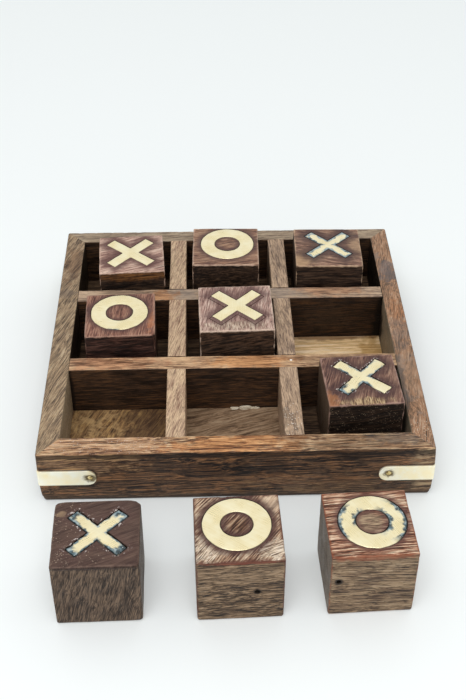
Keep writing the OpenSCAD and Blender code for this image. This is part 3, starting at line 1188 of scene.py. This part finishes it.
def make_base_look():
    """Plain board, but each row of cells shows its own figure."""
    first_divider = centre_of("left_long_divider").x
    pale = grained(
        ("#bd9868", "#e4bf8c", "#f3d2a4", "#fbdfbd"), (1, 0.03, 0), 33, (20, 1.1), 2, 1.2, 0.2, 0.2)
    curved = grained(
        ("#35241a", "#6d5138", "#93714c", "#b8935f"), (0.5, 1, 0), 35, (9, 1.0), 22, 1.05, 0.2, 0.3)
    grey = grained(("#4f3c2e", "#80664f", "#987c61", "#ab9176"), (1, 0.3, 0), 37, (12, 1.0), 9, 1.1, 0.3)

    def floor_patch(x, y, wide, deep, layer, *ragged):
        return within((x, y, BASE_TOP), (wide, deep, 4), layer, *ragged)

    def under_rails(s):
        return s.fit(s.plus(s.z, s.rag(3, 0.5)), BASE_TOP - 0.6, BASE_TOP - 1.2)

    layers = [
        boxed((INNER_LO.x, INNER_LO.y), (first_divider, 0), curved),
        floor_patch(-56, -40, 12, 15, clouds("#c8a574", 5, 0.55, 0.6)),
        floor_patch(-46, -60, 20, 8, clouds("#a8804f", 4, 0.5, 0.5)),
        floor_patch(-34, -38, 9, 16, flat("#4a3628"), 0.6, 0.9, 6),
        boxed((first_divider, INNER_LO.y), (20, 0), grey),
        boxed((22, -20), (INNER_HI.x, 24), pale),
        # brown line at the foot of the back cross divider in the middle right cell: painted shadow
        within((45, 20.5, BASE_TOP), (24, 2.4, 3), flat("#6f4e35"), 0.75, 0.4, 4),
        # darker beside the right rail in the middle right cell: painted shade
        within((64, 6, BASE_TOP), (7, 14, 3), tint("#cfc09f"), 0.8, 0.6, 5),
        shown(under_rails, flat("#33261e"), 0.7),
    ]
    tones = ("#2b1f18", "#4d3a2d", "#66503d", "#7f654c")
    return wood("base_wood", dict(tones=tones, grain=(1, 0.02, 0), seed=2, size=(16, 0.5)), layers)


def make_tray():
    """Base board, mitred rails, halved dividers, and the brass straps with their pins."""
    show(make_base(), "tray", "base_board", "base_wood", make_base_look())
    for side, (graining, layers) in RAILS.items():
        rail = make_rail(side, graining["seed"])
        cutters = []
        for corner in CORNERS:
            if side in corner.split("_"):
                cutters.append(seat_cutter(corner))
                cutters.append(pin_hole(pin_nodes(corner)[side in ("left", "right")]))
        carve(rail, cutters)
        show(rail, "tray", side + "_rail", "rail_wood", wood(side + "_rail_wood", graining, layers))
    for node, (graining, layers, front_layers) in DIVIDERS.items():
        divider = make_divider(node, "long" in node, graining["seed"])
        crossing = [other for other in DIVIDERS if ("long" in other) != ("long" in node)]
        carve(divider, [notch_cutter(node, other) for other in crossing])
        # divider fronts: dark wood, darkened further as painted shade
        layers = layers + on_side(FRONT, dark_and_shaded_wood(graining["seed"] + 1), *front_layers)
        show(divider, "tray", node, "divider_wood", wood(node + "_wood", graining, layers))
    for corner, (x, y) in CORNERS.items():
        sizes = strap_sizes(corner)
        strap = at_corner(strap_solid(corner + "_strap_brass", sizes, 0, sizes["proud"], 0, True), x, y)
        carve(strap, [pin_hole(node) for node in pin_nodes(corner)], 30)
        show(strap, "tray", corner + "_strap", "strap_brass", strap_look(corner))
        for node in pin_nodes(corner):
            metal = brass(node + "_brass", 7, ("#96793a", "#cdb06a", "#f5e3ae"), rough=(0.2, 0.3))
            show(make_pin(node + "_brass", node), "tray", node, "pin_brass", metal)
    make_dried_glue()


def seat_cutter(corner):
    """What is cut from the rails so that the strap lies in them, open above the strap."""
    seat = strap_solid("seat", strap_sizes(corner), SEAT_GAP, SEAT_OPEN, SEAT_GAP, False)
    return at_corner(seat, *CORNERS[corner])


def strap_look(corner):
    """Pale brass, darker and greener round the pins."""
    layers = []
    for node in pin_nodes(corner):
        centre, axis, side = pin_axis(node)
        centre[axis] = side * HALF
        reach = 2.7 if corner == "front_left" else 2.0
        layers.append(within(centre, (reach, reach, 1.9), flat("#64532a"), 0.95, 0.3, 1.5))
    seed = 1 + list(CORNERS).index(corner)
    return brass(corner + "_strap_brass", seed, ("#fff2c8", "#fff8dc", "#fffdec"), layers, (0.3, 0.4), 0.2)


def make_dried_glue():
    """Glue pressed out at the foot of the front middle cell's back wall."""
    wall = node_box("front_cross_divider")[0].y
    material = Surface("dried_glue")
    tone = material.ramp(material.cloud(0.8), ("#9c8a70", "#cfc2ab", "#e9e2d2"))
    material.finish(tone, 0.45, material.cloud(0.5), 0.05)
    drops = [(5.3, 3.2, 1.2, 1.3), (9.2, 1.6, 0.8, 0.7), (0.6, 2.0, 0.9, 0.8)]
    for i, (x, long, deep, high) in enumerate(drops):
        drop = make_glue(f"glue_{i + 1}", Vector((x, wall - 0.02, BASE_TOP)), (long, deep, high), 50 + i)
        drop.data.materials.append(material.material)
        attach(drop, "tray")


# ---------------------------------------------------------------- the cubes

# Sides of the cubes that sit in the tray: dark wood, darkened further as painted shade of the cells
SHADED_SEATED_BROWN = ("#150e0b", "#2b1e17", "#3d2d23", "#544032")
SHADED_SEATED_RED = ("#180e0c", "#321f1a", "#472f28", "#5f4339")
SPARE_DARK = ("#231a14", "#4a3b30", "#625041", "#776250")


def rubbed_across(tones, seed, size, bend, contrast):
    """Rubbed grain that runs from front to back."""
    return grained(tones, (0, 1, 0), seed, size, bend, contrast)


def scuffed(grain, seed):
    """Pale scuffed wood with coarse dark grain."""
    return grained(("#5b4336", "#d9c1a6", "#efdfcb"), grain, seed, (5, 0.4), 2, 1.8, 0.9)


def under_edge(z, high, layer, *more, x=0, wide=17):
    """The layer along the upper edge of a cube's front."""
    return within((x, -15, z), (wide, 3, high), layer, *more)


# side and top are grainings, halo the stain round the mark, worn the rubbed edges; over, front and left
# are layers on the top and on those sides; patina is tarnish on the mark, as colour, reach and where;
# eroded is how far the mark's outline moves out and how rough it is; shape is for make_cube
PIECES = {
    "x_piece_1": dict(
        seed=31,
        side=dict(tones=SHADED_SEATED_BROWN, grain=(1, 0.05, 0.05)),
        top=dict(tones=("#6b4b44", "#a37d70", "#c7a492", "#dbbfac"), grain=(1, 0.3, 0)),
        halo=("#5c3b37", 3.4, 0.85),
        worn=("#cfae9a", 0.45, 0.7),
        front=[
            within(
                (0, -15, 27), (17, 4, 2.6),
                grained(("#33200f", "#6d4626", "#9a6a3c"), (1, 0, 0), 66), 0.75, 0.3, 2,
            ),
        ],
    ),
    "x_piece_2": dict(
        seed=33,
        side=dict(tones=SHADED_SEATED_BROWN, grain=(1, -0.05, 0.02)),
        top=dict(tones=("#4e362e", "#815f51", "#a07c66", "#b6947a"), grain=(1, -0.2, 0)),
        halo=("#4b3532", 3.8, 0.85),
        worn=("#c9a98c", 0.45, 0.7),
        over=[
            on_top(-11, -10, 6, 5, flat("#b8956f"), 0.6, 0.9, 3),
            on_top(12.5, 2, 3, 9, flat("#b39373"), 0.6, 0.9, 3),
        ],
        patina=[("#94a5aa", 1.6, None)],
    ),
    "x_piece_3": dict(
        seed=35,
        slot="cube_wood_red",
        # near-black sides: dark wood, darkened further as painted shade of its cell
        side=dict(tones=("#160e0a", "#2d2018", "#413024", "#553f31"), grain=(1, 0.1, 0.15)),
        top=dict(tones=("#6b4d46", "#9c796d", "#bc9b8e", "#d5bbaa"), grain=(0.2, 1, 0)),
        halo=("#624541", 3.4, 0.85),
        worn=("#dcc2ae", 0.5, 0.75),
        over=[
            within(
                (-1, -12, 31), (14, 3, 4),
                rubbed_across(("#75594d", "#b19682", "#dcc8b2"), 65, (3, 0.5), 1, 2.0), 0.8,
            ),
        ],
        shape=dict(groove=True),
    ),
    "x_piece_4": dict(
        seed=37,
        # near-black sides: dark wood, darkened further as painted shade of its cell; the left face is set
        # lighter brown
        side=dict(tones=("#0d0806", "#1b120d", "#281d16", "#392a20"), grain=(1, 0, 0.1)),
        top=dict(tones=("#412a26", "#6c4b41", "#866354", "#a1806b"), grain=(0.3, 1, 0)),
        halo=("#4d3431", 3.4, 0.85),
        worn=("#a8877a", 0.5, 0.7),
        over=[
            on_top(-13.5, -11, 3, 5, flat("#a36b42"), 0.65, 0.8, 2),
            on_top(
                0, -13, 11, 2.4,
                rubbed_across(("#5b4132", "#a88964", "#cdb18a"), 61, (4, 0.5), 1, 2.2), 0.9,
            ),
        ],
        patina=[
            ("#6d858c", 1.9, ((-8, -7, 32), 7)),
            ("#6d858c", 1.4, ((1, -3, 32), 5)),
            ("#7b8e94", 1.3, ((4, 5, 32), 8)),
            ("#7b8e94", 1.1, ((-5, 6, 32), 5)),
        ],
        # pale specks round the mark: painted glints
        glint_specks=("#ebe2da", 0.7, 0.55),
        eroded=(-0.15, 0.45),
        front=[specks("#a08d76", 0.3, 0.4, 0.7)],
        left=[flat("#6b5746")],
    ),
    "x_piece_5": dict(
        seed=39,
        side=dict(
            tones=SPARE_DARK, grain=(0.22, 0, 1),
            size=(6, 0.42), lines=0.8, bend=8, contrast=1.2, pores=0.8,
        ),
        top=dict(
            tones=("#33231e", "#4c3731", "#5f493f", "#786053"), grain=(1, 0.4, 0),
            contrast=0.7, lines=0.1, pores=0.15,
        ),
        halo=("#5a413a", 2.8, 0.5),
        worn=("#7f675b", 0.4, 0.4),
        over=[
            on_top(-10, 2, 7, 16, specks("#b39c88", 0.4, 0.5, 0.7), 1.0, 0.8),
            on_top(-6, -9, 10, 5, specks("#c4ae98", 0.35, 0.5, 0.7), 1.0, 0.8),
            on_top(-12.5, 9, 1.6, 1.4, flat("#a68a6c"), 0.7),
        ],
        patina=[
            ("#6d848c", 1.2, None),
            ("#6d848c", 3.4, ((9, 9, 30), 4.5)),
            ("#4d6168", 3.0, ((9, -9, 30), 4)),
            ("#59717a", 3.2, ((-9, -9, 30), 4)),
            ("#59717a", 2.6, ((-9, 9, 30), 4)),
        ],
        # pale specks round the mark: painted glints
        glint_specks=("#dccfc8", 0.9, 0.9),
        eroded=(-0.25, 0.6),
        # dark band under the top front edge: painted shadow under the lip, over darker wood
        front=[under_edge(29.4, 1.6, flat("#2f1d19"), 0.8, 0.4)],
        shape=dict(top=0.7, corners={(-1, 1): 1.3, (1, 1): 1.5, (1, -1): 0.4}, lip=0.35),
        slot="cube_wood_dark",
    ),
    "o_piece_1": dict(
        seed=41,
        side=dict(tones=SHADED_SEATED_BROWN, grain=(1, 0.15, 0.05)),
        top=dict(tones=("#523630", "#815d4c", "#9d785f", "#b4927a"), grain=(1, 0.15, 0)),
        halo=("#553c38", 2.2, 0.8),
        worn=("#cfae98", 0.45, 0.7),
    ),
    "o_piece_2": dict(
        seed=43,
        slot="cube_wood_red",
        side=dict(tones=SHADED_SEATED_RED, grain=(1, 0, 0.1)),
        top=dict(tones=("#4c2d27", "#7c5245", "#986d5a", "#b18871"), grain=(0.15, 1, 0)),
        halo=("#533733", 2.0, 0.8),
        worn=("#b08a78", 0.45, 0.7),
        over=[on_top(12.8, -5, 1.5, 7, flat("#b26f48"), 0.55, 0.8, 2)],
        patina=[("#566f79", 0.8, ((-3, -12, 32), 5))],
        shape=dict(corners={(1, -1): 1.3, (-1, -1): 0.5}),
    ),
    "o_piece_3": dict(
        seed=45,
        side=dict(
            tones=("#281d15", "#544131", "#6f5a44", "#876e55", "#9c846a"), grain=(1, 0.05, 0.03),
            size=(10, 0.42), lines=1.0, contrast=1.6, pores=0.8,
        ),
        top=dict(tones=("#3f281f", "#8a6651", "#ba987c", "#dac3a8"), grain=(0.8, 1, 0), contrast=1.6),
        halo=("#4d302c", 2.4, 0.9),
        worn=("#5c3329", 0.6, 0.8),
        over=[
            on_top(-12, -9, 5, 6, scuffed((0.8, 1, 0), 67), 0.85, 0.8),
            on_top(11.5, -10.5, 5, 5, scuffed((1, 0.4, 0), 68), 0.85, 0.8),
            on_top(12.5, 10.5, 4, 4, flat("#c9ae94"), 0.5, 0.8),
            within((0, 0, 30), (5, 5, 2), tint("#c4b6ac"), 0.9, 0.1),
        ],
        front=[under_edge(29.5, 0.7, flat("#7c3a2c"), 0.6, x=2, wide=14)],
        shape=dict(holes=[(5.7, 14.4, 0.9)]),
    ),
    "o_piece_4": dict(
        seed=47,
        slot="cube_wood_red",
        side=dict(
            tones=("#2e221a", "#614c3c", "#7b644d", "#91795e", "#a18b71"), grain=(1, 0.04, -0.05),
            size=(10, 0.42), lines=0.8, contrast=1.4, pores=0.8,
        ),
        top=dict(
            tones=("#43251a", "#95624a", "#c29478", "#e4c9ac"), grain=(1, 0.04, 0),
            size=(12, 0.55), lines=1.0, contrast=1.9,
        ),
        halo=("#5b3a35", 1.8, 0.75),
        worn=("#86482f", 0.5, 0.7),
        over=[
            within(
                (0, 0, 30), (5.2, 5.2, 2),
                grained(("#4f3b30", "#8c715c", "#b39a7c"), (1, 0, 0), 63, (6, 0.45)), 1.0, 0.1,
            ),
        ],
        patina=[
            ("#566c73", 1.9, ((12, 1, 30), 12)),
            ("#566c73", 1.8, ((-6, 4, 30), 6)),
            ("#64797f", 1.3, ((-11, -2, 30), 6)),
        ],
        front=[
            under_edge(29, 1.2, flat("#8a4c34"), 0.6, wide=15),
            within((-12, -15, 17.6), (1.7, 2.5, 1.5), flat("#2a1a12"), 0.7, 0.3),
        ],
        left=[flat("#6e655b")],
        shape=dict(holes=[(-12, 17.6, 0.85)]),
    ),
}


def cube_look(cube, look):
    """Plain sides, a stained and rubbed top, and a dark line round the mark."""
    side = dict(size=(9, 0.6), lines=0.7, contrast=1.6, seed=look["seed"]) | look["side"]
    top = dict(size=(9, 0.55), lines=0.45, contrast=1.2, seed=look["seed"] + 1) | look["top"]
    layers = on_side(FRONT, *look.get("front", []))
    layers += [facing(LEFT, layer, 0.6) for layer in look.get("left", [])]
    layers += [facing(UP, grained(**top)), cube.worn(*look["worn"])]
    layers += on_side(UP, *look.get("over", []))
    layers += [cube.halo(*look["halo"]), cube.outline()]
    # pale specks round the mark: painted glints
    if "glint_specks" in look:
        layers.append(cube.glint_specks(*look["glint_specks"]))
    # near-black in and round each nail hole: painted shade of the hole's depth
    for x, z, r in look.get("shape", {}).get("holes", ()):
        layers.append(within((x, -cube.side / 2, z), (r * 1.4, 2.6, r * 1.4), flat("#0b0705"), 1.0, 0.05))
    return wood(cube.node + "_wood", side, layers)


def make_game_piece(body, look):
    """One cube with its brass mark, turned and placed as its CAD nodes are."""
    cube = Cube(body)
    seed = look["seed"]
    block = make_cube(cube, seed, **look.get("shape", {}))
    patina = look.get("patina", [])
    grow, rough_cut = look.get("eroded", (0, 0.22 if patina else 0.08))
    low, high = cube.side - INLAY_T, cube.side
    inlay = mark_solid(cube.inlay + "_brass", cube, low, high, grow, seed, INLAY_EDGE, rough_cut)
    for obj in (block, inlay):
        obj.location = cube.foot * MM
        obj.rotation_euler = (0, 0, cube.turn)
    slot = look.get("slot", "cube_wood_brown")
    show(block, body, cube.node, slot, cube_look(cube, look))
    layers = [cube.patina(*where) for where in patina]
    tones = ("#f3e2b2", "#f9eabf", "#fef3ce")
    metal = brass(cube.inlay + "_brass", seed * 0.21, tones, layers, metallic=0.65)
    show(inlay, body, cube.inlay, "inlay_brass", metal)


# ---------------------------------------------------------------- floor, light and camera

def make_floor():
    """A plain, nearly white floor."""
    far = 20000
    corners = [(-far, -far, 0), (far, -far, 0), (far, far, 0), (-far, far, 0)]
    floor = make_piece("floor", corners, [(0, 1, 2, 3)])
    material = bpy.data.materials.new("floor")
    material.use_nodes = True
    paper = Nodes(material.node_tree)
    spots = {"Base Color": (0.78, 0.8, 0.8, 1), "Roughness": 1.0, "Specular IOR Level": 0.0}
    spots.update({"Emission Color": (0.97, 1.0, 1.0, 1), "Emission Strength": 0.13})
    paper.node("OutputMaterial", {0: paper.node("BsdfPrincipled", spots).outputs[0]})
    floor.data.materials.append(material)


def make_light():
    """A soft white sky, bright overhead and behind the tray and hazy at the horizon, and two softboxes."""
    world = bpy.data.worlds.new("studio")
    bpy.context.scene.world = world
    world.use_nodes = True
    sky = Nodes(world.node_tree)
    way = sky.node("TexCoord").outputs["Generated"]
    above = sky.fit(sky.vector("DOT_PRODUCT", way, (0, 0.5, 0.866), out=1), -0.35, 0.75, 0.2, 0.84)
    haze = sky.fit(sky.node("SeparateXYZ", {0: way}).outputs["Z"], 0.04, 0.3, 0.7, 0.2)
    spots = {"Color": (0.97, 1.0, 1.0, 1), "Strength": sky.most(above, haze)}
    sky.node("OutputWorld", {0: sky.node("Background", spots).outputs[0]})
    make_softbox("softbox", (-0.12, -0.75, 1.2), 1.1, 0.9, 9.0)
    make_softbox("fill", (0.0, -1.2, 0.35), 1.5, 0.5, 2.7)


def make_softbox(name, place, width, height, watts):
    """A rectangular lamp aimed at the tray's front."""
    lamp = bpy.data.lights.new(name, "AREA")
    lamp.shape = "RECTANGLE"
    lamp.size = width
    lamp.size_y = height
    lamp.energy = watts
    stand = bpy.data.objects.new(name, lamp)
    stand.location = place
    aim_at = Vector((0, -0.05, 0))
    stand.rotation_euler = (aim_at - stand.location).to_track_quat("-Z", "Y").to_euler()
    bpy.context.scene.collection.objects.link(stand)


def make_camera():
    """The photograph's view."""
    data = bpy.data.cameras.new("camera")
    data.lens = 59.08
    data.sensor_width = 36
    camera = bpy.data.objects.new("camera", data)
    camera.location = (-0.00986, -0.3843, 0.3260)
    camera.rotation_euler = Euler([math.radians(a) for a in (50.85, -0.04, -1.52)])
    bpy.context.scene.collection.objects.link(camera)
    bpy.context.scene.camera = camera


make_camera()
make_light()
make_floor()
make_tray()
for piece_body, piece_look in PIECES.items():
    make_game_piece(piece_body, piece_look)

bpy.context.scene.view_settings.view_transform = "Standard"
